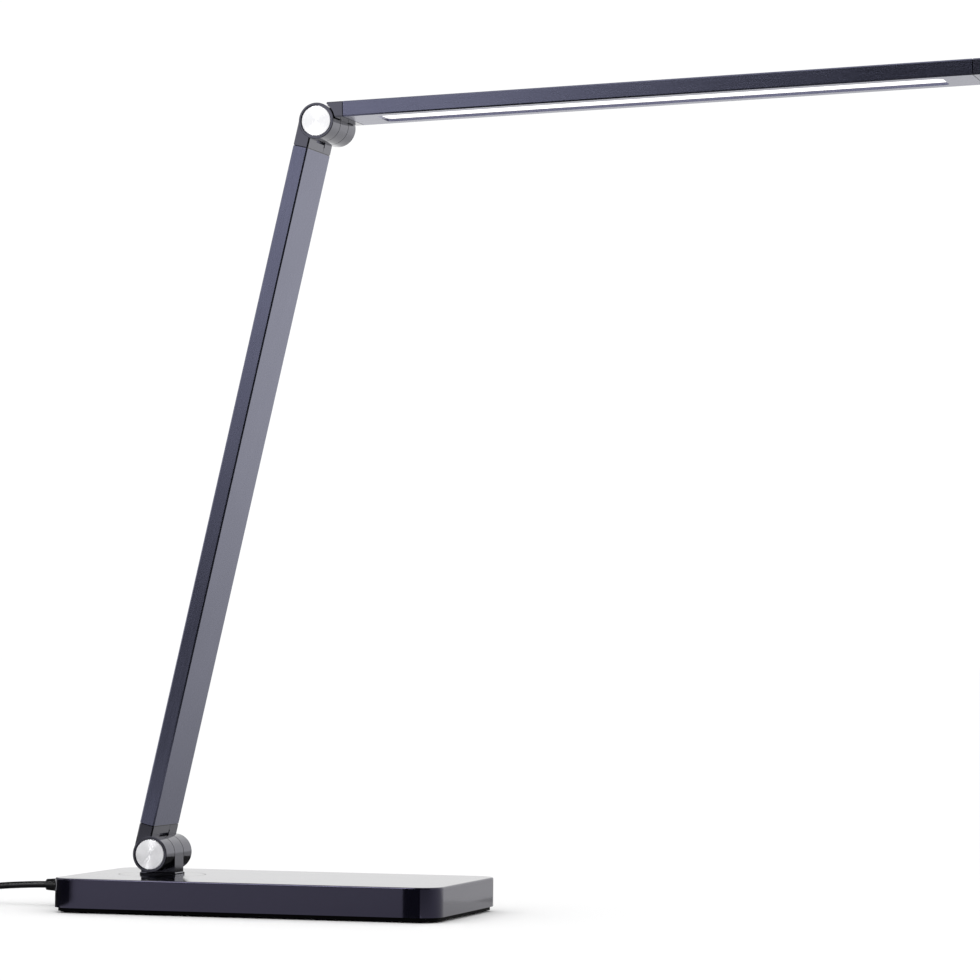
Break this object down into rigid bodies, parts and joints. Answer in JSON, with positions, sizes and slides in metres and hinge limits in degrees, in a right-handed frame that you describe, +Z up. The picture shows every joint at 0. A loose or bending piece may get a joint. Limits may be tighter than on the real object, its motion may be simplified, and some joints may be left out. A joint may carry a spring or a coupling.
{
  "type": "desk lamp",
  "caption": "Folding LED desk lamp: slab base with turning post, flat arm and light-bar head on friction hinges, with a coiled cord and adapter.",
  "frame": {"origin": "on the table at the middle of the base, on the underside of the middle foot", "axes": "+X along the base's long side, the way the head reaches; +Y across the base to the far side; +Z up"},
  "size_m": [0.6274, 0.189, 0.4133],
  "materials": {
    "shell": "gloss",
    "cover": "matte",
    "foot_rubber": "matte",
    "steel": "satin",
    "ballast": "matte",
    "board_green": "satin",
    "dark_parts": "matte",
    "foam": "matte",
    "red_wire": "satin",
    "black_wire": "satin",
    "anodised": "satin",
    "cast_metal": "satin",
    "friction": "matte",
    "spun_disc": "polished",
    "diffuser": "satin",
    "white_plastic": "satin",
    "led": "gloss",
    "nickel": "polished",
    "cord_rubber": "satin",
    "adapter_plastic": "matte",
    "blades": "polished"
  },
  "bodies": {
    "base": {"base_shell": "shell", "bottom_cover": "cover", "rubber_feet": "foot_rubber", "cover_screws": "steel", "ballast_plate": "ballast", "control_board": "board_green", "board_parts": "dark_parts", "board_screws": "steel", "touch_pads": "foam", "power_jack": "dark_parts", "supply_wire": "red_wire", "base_wire": "black_wire", "plug_barrel": "nickel", "plug_grip": "cord_rubber", "plug_relief": "cord_rubber", "cord_lead": "cord_rubber", "cord_coil": "cord_rubber", "cord_tie": "dark_parts", "cord_tail": "cord_rubber", "adapter_relief": "cord_rubber", "adapter_case": "adapter_plastic", "adapter_blades": "blades"},
    "turret": {"turntable": "anodised", "swivel_washer": "steel", "swivel_nut": "steel", "hinge_post": "cast_metal", "post_screws": "steel", "post_wire": "black_wire"},
    "arm": {"lower_bolt": "steel", "lower_nut": "steel", "lower_springs": "steel", "lower_friction": "friction", "lower_disc_front": "spun_disc", "lower_disc_rear": "spun_disc", "arm_tube": "anodised", "arm_cap_lower": "cast_metal", "arm_cap_upper": "cast_metal", "arm_screws": "steel", "arm_wire": "black_wire", "upper_bolt": "steel", "upper_nut": "steel", "upper_springs": "steel", "upper_friction": "friction", "upper_disc_front": "spun_disc", "upper_disc_rear": "spun_disc"},
    "head": {"head_tube": "anodised", "head_cap_inner": "cast_metal", "head_cap_outer": "cast_metal", "head_screws": "steel", "diffuser": "diffuser", "reflector": "white_plastic", "led_board": "white_plastic", "leds": "led", "head_wire": "black_wire"}
  },
  "joints": [
    {"name": "base_swivel", "type": "hinge", "parent": "base", "child": "turret", "pos_m": [-0.0605, 0, 0.0171], "axis": [0, 0, 1], "range_deg": [-90, 90]},
    {"name": "arm_tilt", "type": "hinge", "parent": "turret", "child": "arm", "pos_m": [-0.0605, 0, 0.0278], "axis": [0, 1, 0], "range_deg": [-45, 77.1]},
    {"name": "head_tilt", "type": "hinge", "parent": "arm", "child": "head", "pos_m": [0.023, 0, 0.39236], "axis": [0, 1, 0], "range_deg": [-75.1, 104.9]}
  ]
}
